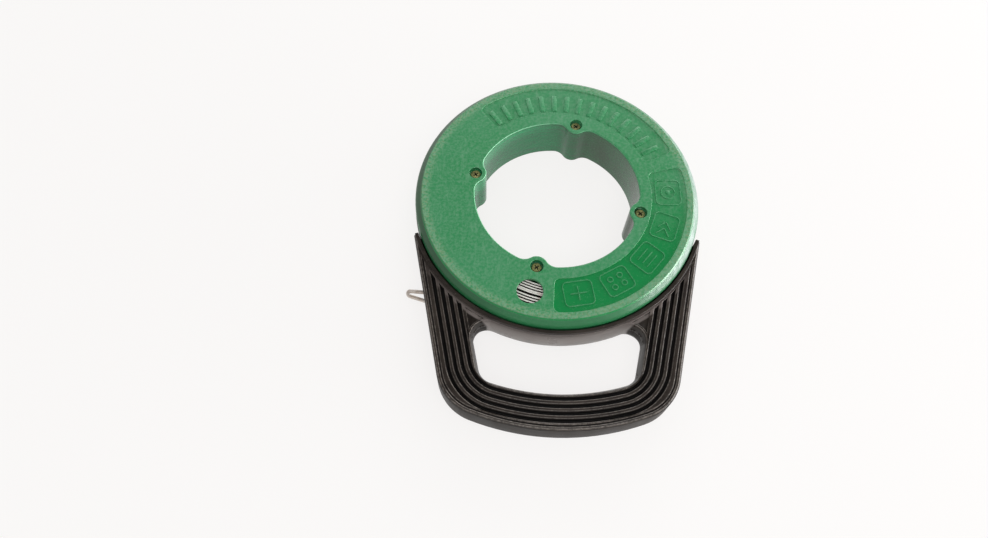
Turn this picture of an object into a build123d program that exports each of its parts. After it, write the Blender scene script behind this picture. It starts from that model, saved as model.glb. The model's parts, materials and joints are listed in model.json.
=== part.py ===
from build123d import *
import math
import os

# Fish tape reel. A ring-shaped case, clamped together by four screws round its hand hole,
# turns on a ring that is moulded in one piece with the grip. The steel tape is coiled in
# the case and leaves it through the left arm of the grip, where its looped end waits.
# Millimetres. Z is the case axis, the case lies on its rear face at z = 0 and the grip
# points to -Y.

# ---- Case ----
case_height = 41.0
case_r = 114.7  # outer wall
shoulder = 5.5  # bevelled edge of both faces
wall = 2.5
hole_r = 66.6  # hand hole
slot_height = 5.0  # open slot round the outside, between the two covers
mid_z = case_height / 2
case_turn = -14.0  # how far the case is turned in the grip, in degrees
skirt = 6.5  # height of the hub wall that belongs to the front cover

# ---- Screw bosses ----
screw_circle_r = 68.3
screw_count = 4
boss_r = 8.8
boss_blend_r = 10.0  # hollow curve from the hub into a boss
head_well_r = 5.2
head_well_depth = 4.5
head_r = 3.9
head_height = 2.0
head_edge = 0.5
drive_size = (4.2, 1.1)  # cross recess
drive_depth = 1.5
drive_turn = 35
screw_r = 1.95
screw_hole_r = 2.3
screw_tip_z = 8.0
insert_r = 3.4  # to the corners of its hexagon
insert_z = (12.0, 22.0)
insert_play = 0.05

# ---- Front face ----
window_r = 10.25
window_place_r = 89.9
relief_depth = 0.7
side_panel_r = (76.1, 104.2)  # sunken panel beside the window
side_panel_ends = (-78.2, 29.1)
top_panel_r = (78.2, 103.3)  # sunken panel over the top
top_panel_ends = (37.3, 143.0)
panel_corner_r = 5.0

# ---- Ring that the case turns on ----
ring_lip_r = (109.2, 111.8)
ring_lip_height = 17.0
ring_web_r = 115.2
ring_web_height = 4.0

# ---- Grip ----
cradle_r = 116.0  # inside of the cradle, round the lower half of the case
cradle_rim_r = 118.8
cradle_wall_r = 122.0
cradle_half_angle = 71.9
rim_height = 27.0
grip_height = 23.0
arm_tilt = 11.9  # the arms lean in towards the grip, in degrees from Y
tip_r = 119.6  # outer corner of each arm's tip
grip_bottom_y = -191.2
grip_bottom_r = 190.0
grip_corner_r = 38.0
grip_edge = 1.4
opening_side_x = 63.3  # half the hand opening's width, at arm_ref_y
arm_ref_y = -125.0
opening_low_y = -162.4
opening_low_r = 170.0
opening_low_corner_r = 13.0
opening_top_corner_r = 10.5
opening_edge = (2.5, 7.5)  # soft edge for the fingers: inwards and down

# ---- Grip ribs, left standing by grooves that run side by side round the grip ----
rib_side_x = 80.1  # middle groove, at arm_ref_y
rib_low_y = -178.5
rib_low_r = 190.0
rib_corner_r = 36.5
groove_offsets = (5.4, 0.0, -5.3, -10.8)
groove_width = (3.0, 1.2)  # at the top and at the floor
groove_depth = 2.8
edge_groove_inset = 3.8  # finer groove along the outer wall
edge_groove_width = (1.6, 0.6)
edge_groove_depth = 1.2
groove_end_r = 120.4  # all grooves end at this distance from the case axis
web_sink = 2.2
web_inset = -15.2  # the smooth webs start inside the innermost groove
web_lip = 4.2  # and leave a lip round the hand opening

# ---- Tape ----
tape_width = 3.2
tape_thick = 1.5
coil_r = (79.5, 101.7)
coil_z = (6.0, 33.0)
coil_ridges = 2  # top layer of turns
coil_ridge_pitch = 11.5
coil_ridge_width = 6.0
tape_line_r = 102.9  # distance of the outgoing tape's line from the case axis
tape_line_angle = 169.5  # direction in which the tape leaves
eye_tip = 100.4  # tip of the eye, measured along the tape from its nearest point to the axis
eye_length = 30.0
eye_tip_r = 3.2
eye_belly_r = 4.6
eye_belly = 15.0
eye_neck_r = 0.75
eye_wall = 2.2

# ---- Tape exit in the left arm ----
mouth_size = (11.4, 9.0)
guide_length = 7.0
guide_size = (9.0, 7.0)
guide_slot = (2.4, 4.2)
channel_size = (3.6, 4.8)

# ---- Tape anchor ----
anchor_r = 2.0
anchor_place_r = 74.5
anchor_angle = 45.0
anchor_z = (4.0, 36.0)
anchor_socket_r = 3.6
anchor_socket_height = 4.0

os.makedirs("parts", exist_ok=True)


def polar(radius, angle):
    """Point at a radius and an angle in degrees round the case axis."""
    return (radius * math.cos(math.radians(angle)), radius * math.sin(math.radians(angle)))


def from_axis(point):
    """Distance of a point from the case axis."""
    return math.hypot(point.X, point.Y)


screw_places = [polar(screw_circle_r, case_turn + 360 / screw_count * i) for i in range(screw_count)]
anchor_place = polar(anchor_place_r, case_turn + anchor_angle)

# ---------------------------------------------------------------- outlines shared by the covers
# Hand hole: a circle with a rounded boss reaching in at each screw.
with BuildSketch() as hole_outline:
    Circle(hole_r)
    with Locations(*screw_places):
        Circle(boss_r, mode=Mode.SUBTRACT)
    fillet(hole_outline.vertices(), boss_blend_r)

# Hub wall that follows the hand hole, thickened to a boss at each screw.
with BuildSketch() as hub_outline:
    offset(hole_outline.sketch, wall)
    with Locations(*screw_places):
        Circle(boss_r)
    add(hole_outline.sketch, mode=Mode.SUBTRACT)


def panel(radii, ends):
    """Face of a curved panel with rounded corners, between two radii and two angles."""
    with BuildSketch() as panel_face:
        with BuildLine():
            CenterArc((0, 0), radii[1], case_turn + ends[0], ends[1] - ends[0])
            CenterArc((0, 0), radii[0], case_turn + ends[0], ends[1] - ends[0])
            Line(polar(radii[0], case_turn + ends[0]), polar(radii[1], case_turn + ends[0]))
            Line(polar(radii[0], case_turn + ends[1]), polar(radii[1], case_turn + ends[1]))
        make_face()
        fillet(panel_face.vertices(), panel_corner_r)
    return panel_face.sketch


def cover_section(plane_z, edge_z):
    """Half section of one cover: face plate, bevelled shoulder and outer wall.

    plane_z is the level of the face, edge_z the level where the outer wall ends.
    """
    side = 1 if plane_z > edge_z else -1
    shoulder_z = plane_z - side * shoulder
    inner_z = plane_z - side * wall
    face_r = case_r - shoulder
    with BuildSketch(Plane.XZ) as section:
        with BuildLine():
            Polyline(
                (face_r, plane_z),
                (case_r, shoulder_z),
                (case_r, edge_z),
                (case_r - wall, edge_z),
                (case_r - wall, shoulder_z - side * wall / 2),
                (face_r, inner_z),
                (screw_circle_r - boss_r, inner_z),
                (screw_circle_r - boss_r, plane_z),
                close=True,
            )
        make_face()
    return section.sketch


# ---------------------------------------------------------------- front cover
with BuildPart() as front_cover:
    revolve(cover_section(case_height, mid_z + slot_height / 2), axis=Axis.Z)
    with BuildSketch():
        add(hole_outline.sketch)
    extrude(amount=case_height, mode=Mode.SUBTRACT)
    with BuildSketch(Plane.XY.offset(case_height - skirt)):
        add(hub_outline.sketch)
    extrude(amount=skirt - wall / 2)
    with Locations(*[(x, y, case_height) for x, y in screw_places]):
        CounterBoreHole(screw_hole_r, head_well_r, head_well_depth, skirt)
    with Locations((*polar(window_place_r, case_turn - 90), case_height)):
        Hole(window_r, wall)
    with BuildSketch(Plane.XY.offset(case_height - relief_depth)):
        add(panel(side_panel_r, side_panel_ends))
        add(panel(top_panel_r, top_panel_ends))
    extrude(amount=relief_depth, mode=Mode.SUBTRACT)
front_cover.part.label = "front_cover"

# ---------------------------------------------------------------- rear cover
with BuildPart() as rear_cover:
    revolve(cover_section(0, mid_z - slot_height / 2), axis=Axis.Z)
    with BuildSketch():
        add(hole_outline.sketch)
    extrude(amount=case_height, mode=Mode.SUBTRACT)
    with BuildSketch():
        add(hub_outline.sketch)
    extrude(amount=case_height - skirt)
    with BuildSketch(Plane.XY.offset(wall / 2)):
        with Locations(anchor_place):
            Circle(anchor_socket_r)
    extrude(amount=wall / 2 + anchor_socket_height)
    with BuildSketch(Plane.XY.offset(anchor_z[0])):
        with Locations(anchor_place):
            Circle(anchor_r)
    extrude(amount=case_height, mode=Mode.SUBTRACT)
    with BuildSketch(Plane.XY.offset(screw_tip_z - 1)):
        with Locations(*screw_places):
            Circle(screw_hole_r)
    extrude(amount=case_height, mode=Mode.SUBTRACT)
    with BuildSketch(Plane.XY.offset(insert_z[0])):
        with Locations(*screw_places):
            RegularPolygon(insert_r, 6)
    extrude(amount=insert_z[1] - insert_z[0], mode=Mode.SUBTRACT)
rear_cover.part.label = "rear_cover"

# ---------------------------------------------------------------- screws and their inserts
with BuildPart() as case_screws:
    with BuildSketch(Plane.XY.offset(screw_tip_z)):
        with Locations(*screw_places):
            Circle(screw_r)
    extrude(amount=case_height - head_well_depth - screw_tip_z)
    with BuildSketch(Plane.XY.offset(case_height - head_well_depth)):
        with Locations(*screw_places):
            Circle(head_r)
    extrude(amount=head_height)
    chamfer(case_screws.edges().filter_by(GeomType.CIRCLE).group_by(Axis.Z)[-1], head_edge)
    with BuildSketch(Plane.XY.offset(case_height - head_well_depth + head_height)):
        with Locations(*screw_places):
            Rectangle(drive_size[0], drive_size[1], rotation=drive_turn)
            Rectangle(drive_size[1], drive_size[0], rotation=drive_turn)
    extrude(amount=-drive_depth, mode=Mode.SUBTRACT)
case_screws.part.label = "case_screws"

with BuildPart() as screw_inserts:
    with BuildSketch(Plane.XY.offset(insert_z[0])):
        with Locations(*screw_places):
            RegularPolygon(insert_r, 6)
            Circle(screw_r + insert_play, mode=Mode.SUBTRACT)
    extrude(amount=insert_z[1] - insert_z[0])
screw_inserts.part.label = "screw_inserts"

# ---------------------------------------------------------------- tape coil and its anchor
with BuildPart() as tape_coil:
    with BuildSketch(Plane.XY.offset(coil_z[0])):
        Circle(coil_r[1])
        Circle(coil_r[0], mode=Mode.SUBTRACT)
    extrude(amount=coil_z[1] - coil_z[0])
    with BuildSketch(Plane.XY.offset(coil_z[1])):
        for number in range(coil_ridges):
            Circle(coil_r[1] - number * coil_ridge_pitch)
            Circle(coil_r[1] - number * coil_ridge_pitch - coil_ridge_width, mode=Mode.SUBTRACT)
    extrude(amount=tape_width)
tape_coil.part.label = "tape_coil"

with BuildPart() as tape_anchor:
    with BuildSketch(Plane.XY.offset(anchor_z[0])):
        with Locations(anchor_place):
            Circle(anchor_r)
    extrude(amount=anchor_z[1] - anchor_z[0])
tape_anchor.part.label = "tape_anchor"

# ---------------------------------------------------------------- outlines of the grip
arm_slope = math.tan(math.radians(arm_tilt))


def tapered_outline(side_x, side_y, arc_y, arc_r, top_y=0.0):
    """Outline that narrows towards -Y and ends in a shallow arc.

    Its sides pass through (side_x, side_y) and its mirror image, and its lowest point is at arc_y.
    """
    low_y = arc_y - 10
    with BuildSketch() as outline:
        with BuildLine():
            right = Line(
                (side_x + (top_y - side_y) * arm_slope, top_y),
                (side_x + (low_y - side_y) * arm_slope, low_y),
            )
            mirror(about=Plane.YZ)
            Line(right @ 0, (-(right @ 0).X, top_y))
            Line(right @ 1, (-(right @ 1).X, low_y))
        make_face()
        with Locations((0, arc_y + arc_r)):
            Circle(arc_r, mode=Mode.INTERSECT)
    return outline.sketch


tip_x, tip_y = polar(tip_r, cradle_half_angle - 90)

with BuildSketch() as wall_outline:
    add(tapered_outline(tip_x, tip_y, grip_bottom_y, grip_bottom_r, tip_y))
    fillet(wall_outline.vertices().group_by(Axis.Y)[0], grip_corner_r)

with BuildSketch() as grip_outline:
    add(wall_outline.sketch)
    with BuildLine():
        Polyline((0, 0), (tip_x, tip_y), (-tip_x, tip_y), close=True)
    make_face()
    Circle(cradle_r, mode=Mode.SUBTRACT)

with BuildSketch() as opening_outline:
    add(tapered_outline(opening_side_x, arm_ref_y, opening_low_y, opening_low_r))
    Circle(cradle_wall_r, mode=Mode.SUBTRACT)
    fillet(opening_outline.vertices().group_by(Axis.Y)[0], opening_low_corner_r)
    fillet(opening_outline.vertices().group_by(Axis.Y)[-1], opening_top_corner_r)

with BuildSketch() as rib_outline:
    add(tapered_outline(rib_side_x, arm_ref_y, rib_low_y, rib_low_r, -30))
    fillet(rib_outline.vertices().group_by(Axis.Y)[0], rib_corner_r)


def groove(outline, width, depth):
    """Groove cutter that runs along an outline, but not along the outline's straight top."""
    path = Wire(outline.edges().sort_by(Axis.Y)[:-1]).moved(Location((0, 0, mid_z + grip_height / 2)))
    with BuildPart() as cutter:
        with BuildSketch(Plane(path @ 0, x_dir=(0, 0, 1), z_dir=path % 0)):
            with BuildLine():
                Polyline(
                    (1, width[0] / 2),
                    (0, width[0] / 2),
                    (-depth, width[1] / 2),
                    (-depth, -width[1] / 2),
                    (0, -width[0] / 2),
                    (1, -width[0] / 2),
                    close=True,
                )
            make_face()
        sweep(path=path)
    return cutter.part


with BuildPart() as rib_grooves:
    for amount in groove_offsets:
        line = offset(rib_outline.sketch, amount, kind=Kind.INTERSECTION, mode=Mode.PRIVATE)
        add(groove(line, groove_width, groove_depth))
    line = offset(wall_outline.sketch, -edge_groove_inset, kind=Kind.INTERSECTION, mode=Mode.PRIVATE)
    add(groove(line, edge_groove_width, edge_groove_depth))
    with BuildSketch(Plane.XY.offset(mid_z + grip_height / 2)):
        offset(rib_outline.sketch, web_inset, kind=Kind.INTERSECTION)
        add(offset(opening_outline.sketch, web_lip, mode=Mode.PRIVATE), mode=Mode.SUBTRACT)
    extrude(amount=-web_sink)
    with BuildSketch():
        Circle(groove_end_r)
    extrude(amount=case_height, mode=Mode.SUBTRACT)

# ---------------------------------------------------------------- grip
with BuildSketch() as cradle_span:
    with BuildLine():
        Polyline((0, 0), (1.1 * tip_x, 1.1 * tip_y), (1.1 * tip_x, -case_r * 1.2), (0, -case_r * 1.2))
        Line((0, -case_r * 1.2), (0, 0))
    make_face()
    mirror(about=Plane.YZ)

# The tape leaves along a straight line that just clears the coil, at the middle of the case.
tape_plane = Plane(
    (*polar(tape_line_r, tape_line_angle + 90), mid_z),
    x_dir=(*polar(1, tape_line_angle), 0),
    z_dir=(0, 0, 1),
)
neck = eye_tip - eye_length


def tape_passage(near, far, size):
    """Straight block round the tape's line, from near to far, for size (width, height)."""
    with BuildPart() as block:
        with BuildSketch(tape_plane.offset(-size[1] / 2)):
            with Locations(((near + far) / 2, 0)):
                Rectangle(far - near, size[0])
        extrude(amount=size[1])
    return block.part


with BuildPart() as handle:
    with BuildSketch(Plane.XY.offset(mid_z - grip_height / 2)):
        add(grip_outline.sketch)
        add(opening_outline.sketch, mode=Mode.SUBTRACT)
    extrude(amount=grip_height)
    outer_rims = [flat.outer_wire().edges() for flat in handle.faces().filter_by(Axis.Z)]
    chamfer([rim for rims in outer_rims for rim in rims if from_axis(rim @ 0.5) > tip_r], grip_edge)
    for flat in handle.faces().filter_by(Axis.Z):
        chamfer(flat.inner_wires()[0].edges(), opening_edge[0], opening_edge[1], reference=flat)
    add(rib_grooves.part, mode=Mode.SUBTRACT)
    add(rib_grooves.part.mirror(Plane.XY.offset(mid_z)), mode=Mode.SUBTRACT)
    # Raised rim of the cradle
    with BuildSketch(Plane.XY.offset(mid_z - rim_height / 2)):
        Circle(cradle_rim_r)
        Circle(cradle_r, mode=Mode.SUBTRACT)
        add(cradle_span.sketch, mode=Mode.INTERSECT)
    extrude(amount=rim_height)
    # Ring: a thin web that fits the slot round the case, with a lip inside the case
    with BuildSketch(Plane.XY.offset(mid_z - ring_web_height / 2)):
        Circle(cradle_r + 1)
        add(cradle_span.sketch, mode=Mode.INTERSECT)
        Circle(ring_web_r)
        Circle(ring_lip_r[0], mode=Mode.SUBTRACT)
    extrude(amount=ring_web_height)
    with BuildSketch(Plane.XY.offset(mid_z - ring_lip_height / 2)):
        Circle(ring_lip_r[1])
        Circle(ring_lip_r[0], mode=Mode.SUBTRACT)
    extrude(amount=ring_lip_height)
    # Way out for the tape
    add(tape_passage(0, neck, channel_size), mode=Mode.SUBTRACT)
    add(tape_passage(neck - guide_length, neck, guide_size), mode=Mode.SUBTRACT)
    add(tape_passage(neck, eye_tip, mouth_size), mode=Mode.SUBTRACT)
handle.part.label = "handle"

with BuildPart() as tape_guide:
    add(tape_passage(neck - guide_length, neck, guide_size))
    add(tape_passage(neck - guide_length, neck, guide_slot), mode=Mode.SUBTRACT)
tape_guide.part.label = "tape_guide"

# ---------------------------------------------------------------- free end of the tape
with BuildSketch() as eye_outline:
    with Locations((eye_tip - eye_tip_r, 0)):
        Circle(eye_tip_r)
    with Locations((eye_tip - eye_belly, 0)):
        Circle(eye_belly_r)
    with Locations((neck, 0)):
        Circle(eye_neck_r)
    make_hull()

with BuildPart() as tape_leader:
    with BuildSketch(tape_plane.offset(-tape_width / 2)):
        with Locations((neck / 2, 0)):
            Rectangle(neck, tape_thick)
        add(eye_outline.sketch)
        add(offset(eye_outline.sketch, -eye_wall, mode=Mode.PRIVATE), mode=Mode.SUBTRACT)
    extrude(amount=tape_width)
tape_leader.part.label = "tape_leader"

pieces = (
    front_cover,
    rear_cover,
    case_screws,
    screw_inserts,
    tape_coil,
    tape_anchor,
    handle,
    tape_guide,
    tape_leader,
)
for piece in pieces:
    export_step(piece.part, f"parts/{piece.part.label}.step")
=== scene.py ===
import bpy
import json
import math
from mathutils import Euler, Matrix, Vector

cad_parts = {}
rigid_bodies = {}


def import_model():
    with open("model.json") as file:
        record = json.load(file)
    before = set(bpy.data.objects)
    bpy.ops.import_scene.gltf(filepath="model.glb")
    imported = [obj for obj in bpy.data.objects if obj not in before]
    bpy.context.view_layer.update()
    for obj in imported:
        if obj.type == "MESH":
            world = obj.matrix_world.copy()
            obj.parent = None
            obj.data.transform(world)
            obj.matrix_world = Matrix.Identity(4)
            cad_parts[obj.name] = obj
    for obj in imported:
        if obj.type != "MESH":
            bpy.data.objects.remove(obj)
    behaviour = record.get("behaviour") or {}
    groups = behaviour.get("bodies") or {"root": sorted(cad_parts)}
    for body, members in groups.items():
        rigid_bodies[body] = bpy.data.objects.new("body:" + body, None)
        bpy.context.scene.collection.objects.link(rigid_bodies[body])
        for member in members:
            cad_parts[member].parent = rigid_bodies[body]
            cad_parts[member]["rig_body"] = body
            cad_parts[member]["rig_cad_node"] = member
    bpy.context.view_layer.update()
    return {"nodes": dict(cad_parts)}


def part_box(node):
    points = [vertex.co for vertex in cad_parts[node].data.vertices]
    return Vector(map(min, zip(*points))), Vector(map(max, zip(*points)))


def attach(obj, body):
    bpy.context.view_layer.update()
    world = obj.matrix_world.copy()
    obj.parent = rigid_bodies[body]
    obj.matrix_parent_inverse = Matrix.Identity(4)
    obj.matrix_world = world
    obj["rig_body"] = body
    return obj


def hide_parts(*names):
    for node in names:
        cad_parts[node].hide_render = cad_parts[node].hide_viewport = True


# Dresses the fish tape reel: a faded green case that spins on a ribbed black grip, with the
# steel tape wound inside and its looped end standing out of the left arm. Metres.

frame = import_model()
nodes = frame["nodes"]
MM = 0.001

# ---------------------------------------------------------------- sizes
case_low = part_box("rear_cover")[0]
front_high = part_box("front_cover")[1]
handle_low, handle_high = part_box("handle")
coil_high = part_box("tape_coil")[1]
leader_low, leader_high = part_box("tape_leader")

face_z = front_high[2]
back_z = case_low[2]
mid_z = (face_z + back_z) / 2
case_r = front_high[0]
case_turn = math.radians(-14.0)  # how far the case is turned in the grip
shoulder = 5.5 * MM  # bevelled edge of both faces
shoulder_r = case_r - shoulder
hub_r = 72.0 * MM  # every edge of the hand hole lies inside this
sink = 0.7 * MM  # depth of the sunk panels
panel_z = face_z - sink
well_count = 4
well_circle_r = 68.3 * MM
well_r = 5.2 * MM
slack = 0.05 * MM  # a point this near to a plane counts as on it

rib_rise = 25.0 * MM  # from the lowest point of the grip to the tops of its front ribs
grip_top = handle_low[2] + rib_rise
cradle_r = 116.0 * MM
cradle_rim_r = 118.8 * MM
rim_r = 122.0 * MM  # outside of the cradle wall
groove_deep = 2.8 * MM
web_deep = 2.2 * MM  # the smooth webs beside the ribs lie this far down
groove_reach = 3.4 * MM  # across the widest groove
cradle_open_y = -80.0 * MM  # below this the cradle stands free of the arms

# Framed squares in the side panel
frame_r = 89.3 * MM
frame_first = math.radians(15.6)
frame_step = math.radians(-20.45)
frame_deep = 20.8 * MM
frame_long = 23.4 * MM
frame_corner = 4.0 * MM
line_wide = 0.85 * MM
strip_corner = line_wide * 0.45
corner_steps = 5
line_high = 0.4 * MM
line_lift = 0.45  # 1 puts a wall all above its sheet, -1 all below
mark_root = 0.2 * MM  # added to a mark's height, and most of it sinks into the panel

# Plain marks inside the frames
mark_wide = 12.0 * MM
mark_long = 13.0 * MM
ring_corner = 5.9 * MM
dot_wide = 3.6 * MM
dot_corner = 1.75 * MM
stripe_step = 4.4 * MM
small_ring_aside = (3.6 * MM, 4.2 * MM)
small_ring_wide = 5.0 * MM
small_ring_corner = 2.4 * MM
chevron_places = (-5.0 * MM, 1.0 * MM)
chevron_aside = 2.6 * MM
chevron_long = 8.0 * MM
chevron_lean = math.radians(-52)

# Raised bars on the top panel
bar_r = (80.1 * MM, 95.8 * MM)
bar_wide = 4.2 * MM
bar_high = 0.5 * MM
bar_lift = 0.5
bar_corner = 1.0 * MM
bar_first = math.radians(43.0)
bar_step = math.radians(6.9)
bar_count = 15

# Tape
tape_tall = leader_high[2] - leader_low[2]
tape_thick = 1.15 * MM
turn_radii = (101.8, 99.4, 97.2, 94.9, 92.6, 89.5, 88.1, 85.8, 83.6, 81.4)  # outside, in millimetres
layer_step = 3.7 * MM
layer_count = 8
turn_steps = 128
turn_stray = 0.1 * MM  # how far a turn stands out of line
turn_phase, layer_phase = 12.9, 4.1  # spread the strays so that no two turns match
window_r = 89.9 * MM
lean_inset = 6.0 * MM  # from the middle of the window towards the axis
lean_r = 4.5 * MM
lean_turn = math.radians(5.0)
lean_reach = 18.0 * MM

# Widest rounding of the edges, piece by piece
cover_round = 2.2 * MM
line_round = 0.18 * MM
bar_round = 0.25 * MM
tape_round = 0.2 * MM
rib_round = 0.65 * MM
loop_round = 0.35 * MM
screw_round = 0.15 * MM

# Limits of angle and distance for shading, rounding and merging
smooth_angle = math.radians(38.0)
sharp_angle = math.radians(25.0)
flat_angle = math.radians(0.4)
weld = 0.002 * MM

# Floor, light and camera
floor_wide = 8.0
floor_drop = 0.05 * MM  # keeps the floor clear of the rear face
floor_glow = 0.84
room_light = 0.55
lens = 27.7
sensor_wide = 36.0
eye_at = (-0.0482, -0.3175, 0.568)
look_down = math.radians(64.83)
look_aside = math.radians(0.26)
roll = math.radians(1.22)


# ---------------------------------------------------------------- bench tools
def clear_selection():
    if bpy.context.mode != "OBJECT":
        bpy.ops.object.mode_set(mode="OBJECT")
    bpy.ops.object.select_all(action="DESELECT")


def take(obj):
    """Makes obj the only selected and active object."""
    clear_selection()
    obj.select_set(True)
    bpy.context.view_layer.objects.active = obj


def named(name):
    """Gives the newest object its name."""
    obj = bpy.context.active_object
    obj.name = name
    obj.data.name = name
    return obj


def settle(obj):
    """Puts the object's place, turn and size into its mesh."""
    take(obj)
    bpy.ops.object.transform_apply(location=True, rotation=True, scale=True)
    return obj


def turned(obj, angle):
    """Swings a settled piece round the case axis."""
    obj.rotation_euler = (0, 0, angle)
    return settle(obj)


def joined(pieces, name):
    clear_selection()
    for piece in pieces:
        piece.select_set(True)
    bpy.context.view_layer.objects.active = pieces[0]
    bpy.ops.object.join()
    return named(name)


def apply_modifiers(obj):
    take(obj)
    for modifier in list(obj.modifiers):
        bpy.ops.object.modifier_apply(modifier=modifier.name)


def smooth(obj):
    take(obj)
    bpy.ops.object.shade_smooth_by_angle(angle=smooth_angle)


def thicken(obj, thickness, offset):
    """Gives an open sheet a wall and turns its faces outwards."""
    wall = obj.modifiers.new("wall", "SOLIDIFY")
    wall.thickness = thickness
    wall.offset = offset
    apply_modifiers(obj)
    bpy.ops.object.mode_set(mode="EDIT")
    bpy.ops.mesh.select_all(action="SELECT")
    bpy.ops.mesh.normals_make_consistent(inside=False)
    bpy.ops.object.mode_set(mode="OBJECT")


def round_edges(obj, width, segments=2, angle=30.0):
    """Rounds every sharp edge of a piece by the same width."""
    bevel = obj.modifiers.new("rounded", "BEVEL")
    bevel.width = width
    bevel.segments = segments
    bevel.limit_method = "ANGLE"
    bevel.angle_limit = math.radians(angle)
    apply_modifiers(obj)
    smooth(obj)


def round_by_place(obj, widest, share, segments=3):
    """Rounds each sharp edge by its own share of the widest rounding, chosen from its middle."""
    take(obj)
    bpy.ops.object.mode_set(mode="EDIT")
    bpy.ops.mesh.select_mode(type="EDGE")
    bpy.ops.mesh.select_all(action="DESELECT")
    bpy.ops.mesh.edges_select_sharp(sharpness=sharp_angle)
    bpy.ops.object.mode_set(mode="OBJECT")
    weights = obj.data.attributes.new("bevel_weight_edge", "FLOAT", "EDGE")
    points = obj.data.vertices
    for edge in obj.data.edges:
        if edge.select:
            start, end = (points[index].co for index in edge.vertices)
            weights.data[edge.index].value = share((start + end) / 2)
    bevel = obj.modifiers.new("rounded", "BEVEL")
    bevel.width = widest
    bevel.segments = segments
    bevel.limit_method = "WEIGHT"
    bevel.use_clamp_overlap = False
    apply_modifiers(obj)
    smooth(obj)
    # Large faces keep their own normals, so that only the rounding turns the light
    even = obj.modifiers.new("even", "WEIGHTED_NORMAL")
    even.weight = 100
    even.keep_sharp = True
    apply_modifiers(obj)


def finished_copy(node, name, merge_flat=True):
    """A copy of a frame node with its points merged, to stand in its place."""
    take(nodes[node])
    bpy.ops.object.duplicate()
    copy = named(name)
    copy.parent = None
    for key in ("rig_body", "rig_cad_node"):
        if key in copy:
            del copy[key]
    bpy.ops.object.mode_set(mode="EDIT")
    bpy.ops.mesh.select_all(action="SELECT")
    bpy.ops.mesh.remove_doubles(threshold=weld)
    if merge_flat:
        bpy.ops.mesh.dissolve_limited(angle_limit=flat_angle)
    bpy.ops.object.mode_set(mode="OBJECT")
    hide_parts(node)
    return copy


# ---------------------------------------------------------------- finishes
FRESH_GREEN = (0.003, 0.205, 0.048, 1)
FADED_GREEN = (0.036, 0.240, 0.093, 1)
CHALK = (0.150, 0.340, 0.200, 1)
SCUFF_BROWN = (0.24, 0.27, 0.14, 1)
SHOULDER_GREEN = (0.010, 0.120, 0.038, 1)
HIGHLIGHT_PALE_GREEN = (0.36, 0.41, 0.40, 1)
SHADE_GREEN = (0.004, 0.035, 0.008, 1)
HUB_GREEN = (0.002, 0.240, 0.086, 1)
HUB_HAZE = (0.070, 0.130, 0.090, 1)
HUB_SHADE_BROWN = (0.022, 0.034, 0.008, 1)
HIGHLIGHT_GREEN = (0.30, 0.66, 0.42, 1)
SHADE_LINE_GREEN = (0.002, 0.060, 0.018, 1)
DEEP_BLACK = (0.0085, 0.0064, 0.0052, 1)
BROWN_BLACK = (0.0210, 0.0148, 0.0105, 1)
MOULDED_LINE = (0.044, 0.034, 0.026, 1)
RUBBED_GREY = (0.042, 0.032, 0.026, 1)
EDGE_WEAR_HIGHLIGHT = (0.20, 0.175, 0.155, 1)
SPECK = (0.22, 0.20, 0.16, 1)
CRADLE_GREY = (0.120, 0.098, 0.090, 1)
CRADLE_PALE_REFLECTION = (0.360, 0.320, 0.300, 1)
GROOVE_FLOOR_SHADE = (0.0022, 0.0018, 0.0016, 1)
GROOVE_DUST = (0.022, 0.017, 0.013, 1)
GROOVE_WALL = (0.022, 0.0175, 0.0145, 1)
STEEL_BRIGHT = (0.97, 0.93, 0.88, 1)
STEEL_OILED = (0.80, 0.55, 0.48, 1)
DEPTH_SHADE = (0.012, 0.009, 0.008, 1)
LOOP_STEEL = (0.74, 0.68, 0.63, 1)
LOOP_STAIN = (0.50, 0.41, 0.34, 1)
PLATING_CLEAN = (0.34, 0.33, 0.12, 1)
PLATING_DULL = (0.085, 0.095, 0.035, 1)
RECESS_DARK = (0.012, 0.013, 0.008, 1)
BRASS_PALE = (0.62, 0.44, 0.16, 1)
BRASS_DEEP = (0.48, 0.33, 0.12, 1)
TABLE_WHITE = (0.88, 0.87, 0.865, 1)
TABLE_GLOW = (0.97, 0.955, 0.945, 1)


def finish_nodes(name):
    """A new material: its node tree and its shader."""
    material = bpy.data.materials.new(name)
    material.use_nodes = True
    tree = material.node_tree
    return material, tree, tree.nodes["Principled BSDF"]


def add_node(tree, kind, inputs=(), **settings):
    node = tree.nodes.new(kind)
    for key, value in settings.items():
        setattr(node, key, value)
    for socket, value in dict(inputs).items():
        feed(tree, node.inputs[socket], value)
    return node


def feed(tree, socket, value):
    """Links value to the socket when it is another node's output, and sets it otherwise."""
    if isinstance(value, bpy.types.NodeSocket):
        tree.links.new(value, socket)
    else:
        socket.default_value = value


def place(tree):
    return add_node(tree, "ShaderNodeTexCoord").outputs["Object"]


def noise(tree, vector, scale, detail=4.0, roughness=0.55):
    inputs = {"Vector": vector, "Scale": scale, "Detail": detail, "Roughness": roughness}
    return add_node(tree, "ShaderNodeTexNoise", inputs).outputs["Fac"]


def stretched(tree, vector, size):
    """Stretches a pattern: a small number draws it out along that axis."""
    return add_node(tree, "ShaderNodeVectorMath", {0: vector, 1: size}, operation="MULTIPLY").outputs[0]


def span(tree, value, low, high, new_low=0.0, new_high=1.0):
    """Stretches value from low..high to new_low..new_high, and stops at both ends."""
    inputs = {"Value": value, 1: low, 2: high, 3: new_low, 4: new_high}
    return add_node(tree, "ShaderNodeMapRange", inputs).outputs["Result"]


def maths(tree, operation, first, second=0.0):
    node = add_node(tree, "ShaderNodeMath", {0: first, 1: second}, operation=operation)
    return node.outputs["Value"]


def product(tree, first, second):
    return maths(tree, "MULTIPLY", first, second)


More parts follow.
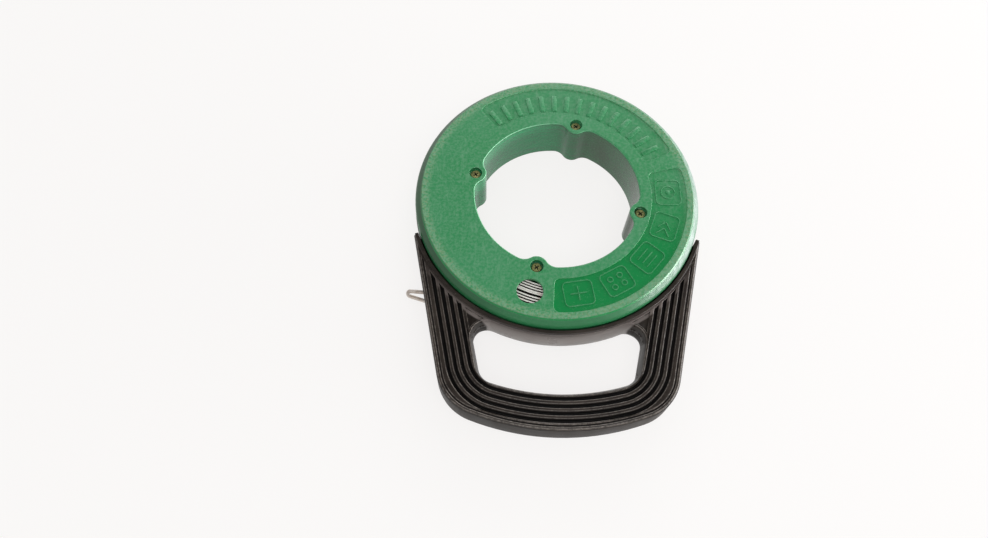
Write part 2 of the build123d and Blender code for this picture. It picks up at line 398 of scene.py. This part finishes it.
def blend_colour(tree, amount, first, second):
    node = add_node(tree, "ShaderNodeMix", data_type="RGBA")
    for socket, value in ((0, amount), (6, first), (7, second)):
        feed(tree, node.inputs[socket], value)
    return node.outputs[2]


def from_axis(tree, vector):
    """Distance from the case axis."""
    flat = stretched(tree, vector, (1, 1, 0))
    return add_node(tree, "ShaderNodeVectorMath", {0: flat}, operation="LENGTH").outputs["Value"]


def coordinate(tree, vector, axis):
    return add_node(tree, "ShaderNodeSeparateXYZ", {0: vector}).outputs[axis]


def off_middle(tree, vector):
    """Distance from the plane halfway between the two faces of the case."""
    return maths(tree, "ABSOLUTE", maths(tree, "SUBTRACT", coordinate(tree, vector, "Z"), mid_z))


def coat(tree, shader, colour, dullness):
    """Gives a shader its colour, and how dull it is from place to place."""
    tree.links.new(colour, shader.inputs["Base Color"])
    tree.links.new(dullness, shader.inputs["Roughness"])


def rough_surface(tree, shader, height, strength, distance):
    inputs = {"Height": height, "Strength": strength, "Distance": distance}
    bump = add_node(tree, "ShaderNodeBump", inputs)
    tree.links.new(bump.outputs["Normal"], shader.inputs["Normal"])


def green_plastic():
    """Faded green moulding: chalky mottle, worn edges, fresher and glossier in the side panel."""
    material, tree, shader = finish_nodes("green_plastic")
    where = place(tree)
    radius = from_axis(tree, where)
    height = coordinate(tree, where, "Z")
    clouds = noise(tree, where, scale=16.0, detail=4.0)
    mottle = noise(tree, where, scale=460.0, detail=5.0, roughness=0.7)
    grain = noise(tree, where, scale=1300.0, detail=3.0)
    streaks = noise(tree, stretched(tree, where, (260, 60, 60)), scale=1.0, detail=5.0, roughness=0.7)
    wall = product(
        tree,
        span(tree, radius, hub_r - 2.0 * MM, hub_r - 6.0 * MM),
        span(tree, height, face_z - 0.8 * MM, face_z - 2.0 * MM),
    )
    exposed = maths(tree, "SUBTRACT", 1.0, product(tree, wall, 0.8))
    colour = blend_colour(tree, span(tree, clouds, 0.34, 0.66, 0.45, 1.0), FRESH_GREEN, FADED_GREEN)
    chalky = product(tree, exposed, span(tree, mottle, 0.42, 0.66, 0.0, 0.45))
    colour = blend_colour(tree, chalky, colour, CHALK)
    rubbed = product(tree, exposed, span(tree, streaks, 0.56, 0.68, 0.0, 0.40))
    colour = blend_colour(tree, rubbed, colour, CHALK)
    # Chalky band between the shoulder and the panels, with brown scuffs in it
    band = product(
        tree,
        span(tree, radius, shoulder_r - 8.0 * MM, shoulder_r - 3.0 * MM),
        span(tree, radius, shoulder_r + 1.2 * MM, shoulder_r + 0.2 * MM),
    )
    scratches = noise(tree, where, scale=640.0, detail=6.0, roughness=0.8)
    worn = product(tree, band, span(tree, mottle, 0.38, 0.58, 0.0, 0.85))
    colour = blend_colour(tree, worn, colour, CHALK)
    scuffs = product(tree, band, span(tree, scratches, 0.49, 0.60, 0.0, 0.55))
    colour = blend_colour(tree, scuffs, colour, SCUFF_BROWN)
    # The shoulder is duller and browner than the face
    outer = span(tree, radius, shoulder_r - 0.3 * MM, shoulder_r + 0.6 * MM)
    dull = product(tree, outer, span(tree, clouds, 0.3, 0.7, 0.6, 0.95))
    colour = blend_colour(tree, dull, colour, SHOULDER_GREEN)
    # Painted light on the shoulder: a pale painted highlight on its side towards +X, and painted shade on
    # its side towards -X
    across = coordinate(tree, where, "X")
    foot = face_z - shoulder
    front = product(tree, outer, span(tree, height, foot - 0.8 * MM, foot + 0.4 * MM))
    painted_light_pale = product(tree, front, span(tree, across, 60.0 * MM, 112.0 * MM, 0.0, 0.75))
    painted_light_pale = product(tree, painted_light_pale, span(tree, streaks, 0.40, 0.60, 0.35, 1.0))
    colour = blend_colour(tree, painted_light_pale, colour, HIGHLIGHT_PALE_GREEN)
    darker = product(tree, front, span(tree, across, -30.0 * MM, -100.0 * MM, 0.0, 0.75))
    colour = blend_colour(tree, darker, colour, SHADE_GREEN)
    # The hub wall and the side panel's floor have been rubbed least
    colour = blend_colour(tree, product(tree, wall, 0.9), colour, HUB_GREEN)
    drawn = noise(tree, stretched(tree, where, (22, 22, 620)), scale=1.0, detail=4.0, roughness=0.6)
    hazed = product(tree, wall, span(tree, drawn, 0.46, 0.64, 0.0, 0.6))
    colour = blend_colour(tree, hazed, colour, HUB_HAZE)
    # Painted shade: the wall on the side towards +X, which faces away from the light, is made darker
    painted_shade_side = product(tree, wall, span(tree, across, -8.0 * MM, 40.0 * MM, 0.0, 0.9))
    painted_shade_side = product(tree, painted_shade_side, span(tree, clouds, 0.35, 0.60, 0.45, 1.0))
    colour = blend_colour(tree, painted_shade_side, colour, HUB_SHADE_BROWN)
    # Its edge has a painted highlight line, brighter towards -X, with a painted shade line under it
    inner = span(tree, radius, hub_r, hub_r - 1.0 * MM)
    painted_highlight = product(tree, inner, span(tree, height, face_z - 0.12 * MM, face_z - 0.22 * MM))
    painted_highlight = product(tree, painted_highlight, span(tree, height, face_z - 0.75 * MM, face_z - 0.6 * MM))
    painted_highlight = product(tree, painted_highlight, span(tree, across, 10.0 * MM, -30.0 * MM, 0.15, 0.8))
    colour = blend_colour(tree, painted_highlight, colour, HIGHLIGHT_GREEN)
    under = product(tree, inner, span(tree, height, face_z - 0.75 * MM, face_z - 0.95 * MM))
    under = product(tree, under, span(tree, height, face_z - 2.1 * MM, face_z - 1.4 * MM, 0.0, 0.75))
    colour = blend_colour(tree, under, colour, SHADE_LINE_GREEN)
    sunk = product(
        tree,
        span(tree, height, face_z - 0.15 * MM, face_z - 0.5 * MM),
        span(tree, height, face_z - 1.4 * MM, face_z - 1.0 * MM),
    )
    kept = product(tree, sunk, span(tree, coordinate(tree, where, "Y"), 14.0 * MM, -48.0 * MM, 0.12, 1.0))
    colour = blend_colour(tree, product(tree, kept, 0.9), colour, FRESH_GREEN)
    dullness = span(tree, mottle, 0.3, 0.7, 0.34, 0.48)
    for glossier in (kept, wall):
        dullness = maths(tree, "SUBTRACT", dullness, product(tree, glossier, 0.17))
    coat(tree, shader, colour, dullness)
    relief = maths(tree, "ADD", grain, product(tree, scratches, 0.6))
    rough_surface(tree, shader, relief, 0.25, 0.12 * MM)
    return material


def black_plastic(name, shine):
    """Black moulding worn to a brown grey on its ribs, smooth and paler round the cradle wall."""
    material, tree, shader = finish_nodes(name)
    where = place(tree)
    radius = from_axis(tree, where)
    clouds = noise(tree, where, scale=34.0, detail=5.0)
    specks = noise(tree, where, scale=420.0, detail=6.0, roughness=0.75)
    grain = noise(tree, where, scale=1500.0, detail=3.0)
    wiped = noise(tree, stretched(tree, where, (90, 320, 320)), scale=1.0, detail=4.0, roughness=0.6)
    moulded = noise(tree, stretched(tree, where, (25, 25, 900)), scale=1.0, detail=3.0, roughness=0.6)
    colour = blend_colour(tree, span(tree, clouds, 0.35, 0.68), DEEP_BLACK, BROWN_BLACK)
    # Fine lines run along the walls
    colour = blend_colour(tree, span(tree, moulded, 0.50, 0.66, 0.0, 0.55), colour, MOULDED_LINE)
    # The tops of the ribs are rubbed grey, and their edges paler still, rubbed and with a painted
    # highlight
    rise = off_middle(tree, where)
    top = grip_top - mid_z
    flat = span(tree, rise, top - 0.9 * MM, top - 0.3 * MM)
    edge = product(tree, flat, span(tree, rise, top - 0.02 * MM, top - 0.12 * MM))
    rubbed = product(tree, flat, span(tree, wiped, 0.38, 0.68, 0.15, 1.0))
    colour = blend_colour(tree, product(tree, rubbed, 0.5), colour, RUBBED_GREY)
    pale = product(tree, edge, span(tree, specks, 0.40, 0.60, 0.1, 0.8))
    colour = blend_colour(tree, pale, colour, EDGE_WEAR_HIGHLIGHT)
    colour = blend_colour(tree, span(tree, specks, 0.64, 0.70, 0.0, 0.6), colour, SPECK)
    # The cradle's outer wall is a paler grey, the more the further from its lip, partly its own tone and
    # partly a painted reflection
    cradle = product(
        tree,
        span(tree, radius, rim_r + 1.6 * MM, rim_r + 0.6 * MM),
        span(tree, radius, cradle_rim_r + 0.2 * MM, cradle_rim_r + 1.5 * MM, 0.3, 1.0),
    )
    lip = handle_high[2] - mid_z
    cradle = product(tree, cradle, span(tree, rise, lip - 0.2 * MM, lip - 1.4 * MM, 0.25, 1.0))
    cradle = product(tree, cradle, span(tree, coordinate(tree, where, "Y"), -60.0 * MM, -95.0 * MM))
    painted_light_pale = blend_colour(
        tree,
        span(tree, rise, lip - 1.0 * MM, lip - 9.0 * MM),
        CRADLE_GREY,
        CRADLE_PALE_REFLECTION,
    )
    colour = blend_colour(tree, product(tree, cradle, 0.85), colour, painted_light_pale)
    dullness = span(tree, clouds, 0.3, 0.7, 0.30, 0.42)
    coat(tree, shader, colour, maths(tree, "SUBTRACT", dullness, product(tree, cradle, 0.06)))
    shader.inputs["Specular IOR Level"].default_value = shine
    relief = maths(tree, "ADD", grain, product(tree, specks, 0.7))
    relief = maths(tree, "ADD", product(tree, moulded, 0.8), relief)
    rough_surface(tree, shader, relief, 0.3, 0.12 * MM)
    return material


def spring_steel():
    """Bare steel tape with brown patches of old oil, in painted shade below the upper edges of the top
    layer.
    """
    material, tree, shader = finish_nodes("spring_steel")
    where = place(tree)
    drawn = noise(tree, where, scale=300.0, detail=4.0)
    stain = noise(tree, where, scale=75.0, detail=4.0)
    colour = blend_colour(tree, span(tree, stain, 0.48, 0.68), STEEL_BRIGHT, STEEL_OILED)
    # Painted shade below the upper edges of the top layer darkens the deeper turns
    depth = span(tree, coordinate(tree, where, "Z"), coil_high[2] - 0.4 * MM, coil_high[2] - 0.55 * MM)
    colour = blend_colour(tree, product(tree, depth, 0.97), colour, DEPTH_SHADE)
    coat(tree, shader, colour, span(tree, drawn, 0.3, 0.7, 0.30, 0.46))
    shader.inputs["Metallic"].default_value = 0.12
    rough_surface(tree, shader, drawn, 0.15, 0.05 * MM)
    return material


def worn_steel():
    """The tape's looped end, dulled by use."""
    material, tree, shader = finish_nodes("worn_steel")
    where = place(tree)
    drawn = noise(tree, where, scale=420.0, detail=5.0, roughness=0.65)
    stain = noise(tree, where, scale=120.0, detail=4.0)
    colour = blend_colour(tree, span(tree, stain, 0.4, 0.66), LOOP_STEEL, LOOP_STAIN)
    coat(tree, shader, colour, span(tree, drawn, 0.3, 0.7, 0.34, 0.55))
    shader.inputs["Metallic"].default_value = 0.45
    rough_surface(tree, shader, drawn, 0.3, 0.06 * MM)
    return material


def yellow_plating():
    """Dull yellow plating of the case screws, dark where it lies deeper than about 3 mm below the face.
    """
    material, tree, shader = finish_nodes("yellow_plating")
    where = place(tree)
    dirt = noise(tree, where, scale=900.0, detail=4.0)
    head = span(tree, coordinate(tree, where, "Z"), face_z - 3.6 * MM, face_z - 2.9 * MM)
    colour = blend_colour(tree, span(tree, dirt, 0.40, 0.62), PLATING_CLEAN, PLATING_DULL)
    colour = blend_colour(tree, head, RECESS_DARK, colour)
    coat(tree, shader, colour, span(tree, dirt, 0.3, 0.7, 0.40, 0.65))
    shader.inputs["Metallic"].default_value = 0.3
    rough_surface(tree, shader, dirt, 0.2, 0.05 * MM)
    return material


def brass():
    """Turned brass of the threaded inserts."""
    material, tree, shader = finish_nodes("brass")
    turning = noise(tree, place(tree), scale=500.0, detail=2.0)
    colour = blend_colour(tree, turning, BRASS_PALE, BRASS_DEEP)
    coat(tree, shader, colour, span(tree, turning, 0.3, 0.7, 0.3, 0.42))
    shader.inputs["Metallic"].default_value = 1.0
    rough_surface(tree, shader, turning, 0.2, 0.04 * MM)
    return material


def groove_black():
    """The grip's grooves: black with dust, in painted shade that is deepest at the floor and lifts
    towards the lip.
    """
    material, tree, shader = finish_nodes("groove_black")
    where = place(tree)
    dust = noise(tree, where, scale=260.0, detail=5.0, roughness=0.7)
    top = grip_top - mid_z
    # Painted shade lifts from the groove's floor towards its lip
    lit = span(tree, off_middle(tree, where), top - 1.7 * MM, top - 0.5 * MM)
    colour = blend_colour(tree, span(tree, dust, 0.55, 0.75, 0.0, 0.5), GROOVE_FLOOR_SHADE, GROOVE_DUST)
    colour = blend_colour(tree, lit, colour, GROOVE_WALL)
    coat(tree, shader, colour, span(tree, dust, 0.3, 0.7, 0.45, 0.65))
    shader.inputs["Specular IOR Level"].default_value = 0.25
    rough_surface(tree, shader, dust, 0.3, 0.1 * MM)
    return material


def paint(obj, material):
    obj.data.materials.clear()
    obj.data.materials.append(material)


def dress(piece, material, body):
    """Gives a finished piece its material and the body that it moves with."""
    paint(piece, material)
    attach(piece, body)


GREEN = green_plastic()
BLACK = black_plastic("black_plastic", 0.34)
BLACK_SIDE = black_plastic("black_plastic_side", 0.05)
GROOVE = groove_black()
STEEL = spring_steel()
WORN_STEEL = worn_steel()
PLATING = yellow_plating()
BRASS = brass()


# ---------------------------------------------------------------- case
def cover_rounding(middle):
    """Share of the widest rounding for an edge of a cover."""
    radius = middle.xy.length
    rise = abs(middle.z - mid_z)
    half = face_z - mid_z
    if rise > half - slack:
        return 0.5 if radius < hub_r and not near_well(middle) else 0.14
    if rise > half - sink - slack:
        return 0.12
    if radius <= case_r - 0.2 * MM:
        return 0.0
    return 1.0 if rise > half - shoulder - 0.1 * MM else 0.2


def near_well(point):
    """True on the edge of a screw well."""
    for number in range(well_count):
        angle = case_turn + math.radians(360.0 / well_count * number)
        centre = Vector((math.cos(angle), math.sin(angle))) * well_circle_r
        if (point.xy - centre).length < well_r + 0.3 * MM:
            return True
    return False


def covers():
    for node, name in (("front_cover", "front_shell"), ("rear_cover", "rear_shell")):
        shell = finished_copy(node, name)
        round_by_place(shell, cover_round, cover_rounding)
        dress(shell, GREEN, "case")


# ---------------------------------------------------------------- raised marks on the face
def flat_plate(place_at, deep, wide, corner):
    """A flat plate with rounded corners."""
    clear_selection()
    bpy.ops.mesh.primitive_plane_add(size=1.0, location=(*place_at, panel_z))
    plate = named("plate")
    bpy.ops.object.mode_set(mode="EDIT")
    bpy.ops.mesh.select_all(action="SELECT")
    bpy.ops.transform.resize(value=(deep, wide, 1))
    bpy.ops.mesh.bevel(offset=corner, segments=corner_steps, affect="VERTICES")
    bpy.ops.object.mode_set(mode="OBJECT")
    return plate


def outline_only(plate):
    """Leaves the outline of a flat plate, as a line."""
    take(plate)
    bpy.ops.object.mode_set(mode="EDIT")
    bpy.ops.mesh.select_all(action="SELECT")
    bpy.ops.mesh.inset(thickness=line_wide, depth=0)
    bpy.ops.mesh.delete(type="FACE")
    bpy.ops.object.mode_set(mode="OBJECT")
    return plate


def strip(place_at, long, turn=0.0):
    """A short strip with round ends, turned on the spot."""
    bar = flat_plate((0, 0), long, line_wide, strip_corner)
    settle(bar)
    bar.rotation_euler = (0, 0, turn)
    bar.location = (*place_at, 0)
    return bar


def ring_mark():
    ring = outline_only(flat_plate((frame_r, 0), mark_wide, mark_wide, ring_corner))
    dot = flat_plate((frame_r, 0), dot_wide, dot_wide, dot_corner)
    return [ring, dot]


def bars_mark():
    return [strip((frame_r + step * stripe_step, 0), mark_long, math.radians(90)) for step in (-1, 0, 1)]


def dots_mark():
    aside, along = small_ring_aside
    places = [(frame_r + x * aside, y * along) for x in (-1, 1) for y in (-1, 1)]
    plates = [flat_plate(spot, small_ring_wide, small_ring_wide, small_ring_corner) for spot in places]
    return [outline_only(plate) for plate in plates]


def chevrons_mark():
    strips = []
    for along in chevron_places:
        for side in (-1, 1):
            spot = (frame_r + side * chevron_aside, along)
            strips.append(strip(spot, chevron_long, side * chevron_lean))
    return strips


def plus_mark():
    return [strip((frame_r, 0), mark_wide), strip((frame_r, 0), mark_long, math.radians(90))]


def raised_marks():
    """Five framed squares along the side panel, each with its own plain mark."""
    for number, mark in enumerate((ring_mark, chevrons_mark, bars_mark, dots_mark, plus_mark)):
        lines = [outline_only(flat_plate((frame_r, 0), frame_deep, frame_long, frame_corner))]
        lines += mark()
        for line in lines:
            settle(line)
        square = joined(lines, f"panel_frame_{number + 1}")
        thicken(square, line_high + mark_root, line_lift)
        turned(square, case_turn + frame_first + frame_step * number)
        round_edges(square, line_round)
        dress(square, GREEN, "case")


def top_bars():
    """Plain raised bars in a row round the top panel."""
    middle = (bar_r[0] + bar_r[1]) / 2
    first = flat_plate((middle, 0), bar_r[1] - bar_r[0], bar_wide, bar_corner)
    bars = [turned(settle(first), case_turn + bar_first)]
    for _ in range(bar_count - 1):
        take(bars[-1])
        bpy.ops.object.duplicate()
        bars.append(turned(bpy.context.active_object, bar_step))
    row = joined(bars, "top_panel_bars")
    thicken(row, bar_high + mark_root, bar_lift)
    round_edges(row, bar_round)
    dress(row, GREEN, "case")


# ---------------------------------------------------------------- wound tape
def wound_tape():
    """Turns of the tape on edge, layer on layer, each a little out of line."""
    clear_selection()
    turns = []
    for layer in range(layer_count):
        for turn, outer in enumerate(turn_radii):
            wobble = math.sin(turn_phase * turn + layer_phase * layer)
            middle = coil_high[2] - tape_tall / 2 - layer * layer_step - turn_stray * (1 - wobble)
            bpy.ops.mesh.primitive_cylinder_add(
                vertices=turn_steps,
                radius=outer * MM - turn_stray * (1 + wobble),
                depth=tape_tall,
                end_fill_type="NOTHING",
                location=(0, 0, middle),
            )
            turns.append(settle(bpy.context.active_object))
    coil = joined(turns, "wound_tape")
    lean_in_window(coil)
    wall = coil.modifiers.new("strip", "SOLIDIFY")
    wall.thickness = tape_thick
    wall.offset = -1
    round_edges(coil, tape_round, segments=1, angle=40.0)
    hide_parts("tape_coil")
    dress(coil, STEEL, "case")


def lean_in_window(coil):
    """Lets the inner turns of the top layer run out of true under the window."""
    angle = case_turn - math.pi / 2
    centre = Vector((math.cos(angle), math.sin(angle), 0)) * (window_r - lean_inset)
    take(coil)
    for point in coil.data.vertices:
        near = (point.co.xy - centre.xy).length < lean_r
        point.select = near and point.co.z > coil_high[2] - tape_tall - 0.5 * MM
    bpy.ops.object.mode_set(mode="EDIT")
    bpy.ops.transform.rotate(
        value=lean_turn,
        orient_axis="Z",
        center_override=centre,
        use_proportional_edit=True,
        proportional_size=lean_reach,
    )
    bpy.ops.object.mode_set(mode="OBJECT")


# ---------------------------------------------------------------- grip, tape end and screws
def grip_rounding(middle):
    """Share of the widest rounding for an edge of the grip: its ribs most, the cradle less."""
    radius = middle.xy.length
    rise = abs(middle.z - mid_z)
    top = grip_top - mid_z
    if radius < cradle_r - 1.0 * MM:
        return 0.25
    if radius < rim_r - 0.5 * MM:
        return 0.5
    if rise > top - slack:
        return 1.0
    return 0.0 if rise > top - groove_deep - slack else 0.6


def in_groove(piece, face):
    """True for the floor of a groove, and for a wall with another wall close across from it."""
    rise = abs(face.center.z - mid_z)
    top = grip_top - mid_z
    at_depth = top - groove_deep - 0.1 * MM <= rise <= top - 0.4 * MM
    if not at_depth or face.center.xy.length < rim_r - 1.5 * MM:
        return False
    across = Vector((face.normal.x, face.normal.y, 0))
    if across.length < 0.2:
        return abs(rise - top + web_deep) > 0.1 * MM
    across.normalize()
    return piece.ray_cast(face.center + across * 0.05 * MM, across, distance=groove_reach)[0]


def on_cradle(point):
    """True on the open stretch of the cradle, between the arms."""
    return point.xy.length < rim_r + 1.0 * MM and point.y < cradle_open_y


def grip_finish(piece, face):
    """Number of a face's finish: 0 is the rubbed black, 1 the groove and 2 an upright wall."""
    if in_groove(piece, face):
        return 1
    upright = abs(face.normal.z) < 0.3
    return 2 if upright and not on_cradle(face.center) else 0


def grip():
    piece = finished_copy("handle", "ribbed_grip", merge_flat=False)
    round_by_place(piece, rib_round, grip_rounding, segments=2)
    dress(piece, BLACK, "handle")
    piece.data.materials.append(GROOVE)
    piece.data.materials.append(BLACK_SIDE)
    for face in piece.data.polygons:
        face.material_index = grip_finish(piece, face)


def tape_end():
    piece = finished_copy("tape_leader", "tape_end")
    round_edges(piece, loop_round, segments=3)
    dress(piece, WORN_STEEL, "tape")


def cross_screws():
    piece = finished_copy("case_screws", "cross_screws")
    round_edges(piece, screw_round)
    dress(piece, PLATING, "case")


covers()
raised_marks()
top_bars()
wound_tape()
grip()
tape_end()
cross_screws()
paint(nodes["screw_inserts"], BRASS)
paint(nodes["tape_anchor"], STEEL)
paint(nodes["tape_guide"], BLACK)


# ---------------------------------------------------------------- floor, light and camera
def seen_directly(tree):
    """1 for rays from the camera and for those in gloss and glass, 0 for light on the object."""
    path = add_node(tree, "ShaderNodeLightPath")
    mirrored = maths(tree, "MAXIMUM", path.outputs["Is Glossy Ray"], path.outputs["Is Transmission Ray"])
    return maths(tree, "MAXIMUM", path.outputs["Is Camera Ray"], mirrored)


def pale_floor():
    clear_selection()
    bpy.ops.mesh.primitive_plane_add(size=floor_wide, location=(0, 0, back_z - floor_drop))
    floor = named("pale_floor")
    material, tree, shader = finish_nodes("white_table")
    shader.inputs["Base Color"].default_value = TABLE_WHITE
    shader.inputs["Roughness"].default_value = 0.8
    glow = add_node(tree, "ShaderNodeEmission", {"Color": TABLE_GLOW, "Strength": 1.0})
    amount = product(tree, seen_directly(tree), floor_glow)
    mixed = add_node(tree, "ShaderNodeMixShader", {0: amount, 1: shader.outputs[0], 2: glow.outputs[0]})
    tree.links.new(mixed.outputs[0], tree.nodes["Material Output"].inputs["Surface"])
    paint(floor, material)


def soft_lamp(name, place_at, aim, wide, tall, power):
    data = bpy.data.lights.new(name, "AREA")
    data.shape = "RECTANGLE"
    data.size = wide
    data.size_y = tall
    data.energy = power
    lamp = bpy.data.objects.new(name, data)
    bpy.context.scene.collection.objects.link(lamp)
    lamp.location = place_at
    lamp.rotation_euler = (Vector(aim) - Vector(place_at)).to_track_quat("-Z", "Y").to_euler()


def room():
    """Pale walls, brighter low down than overhead, and less bright as light than to look at."""
    world = bpy.data.worlds.new("room")
    bpy.context.scene.world = world
    world.use_nodes = True
    tree = world.node_tree
    background = tree.nodes["Background"]
    up = coordinate(tree, add_node(tree, "ShaderNodeTexCoord").outputs["Generated"], "Z")
    seen = span(tree, up, 0.30, 0.80, 1.0, 0.06)
    strength = add_node(tree, "ShaderNodeMix", {0: seen_directly(tree), 2: room_light, 3: seen})
    tree.links.new(strength.outputs[0], background.inputs["Strength"])
    background.inputs["Color"].default_value = (1, 1, 1, 1)


def studio():
    soft_lamp("window_right", (1.3, -0.04, 0.15), (0, -0.03, 0.02), wide=1.8, tall=0.24, power=28.0)
    soft_lamp("window_far", (0.30, 1.50, 0.60), (0, 0, 0), wide=1.6, tall=0.8, power=14.0)
    soft_lamp("front_fill", (0.15, -0.80, 1.50), (0, 0, 0), wide=1.2, tall=1.0, power=10.0)
    room()


def camera():
    data = bpy.data.cameras.new("camera")
    data.sensor_width = sensor_wide
    data.lens = lens
    data.clip_start = 0.01
    eye = bpy.data.objects.new("camera", data)
    bpy.context.scene.collection.objects.link(eye)
    eye.location = eye_at
    turn = Euler((math.pi / 2 - look_down, 0, look_aside)).to_matrix()
    eye.rotation_euler = (turn @ Matrix.Rotation(roll, 3, "Z")).to_euler()
    bpy.context.scene.camera = eye


pale_floor()
studio()
camera()
bpy.context.scene.view_settings.view_transform = "Standard"
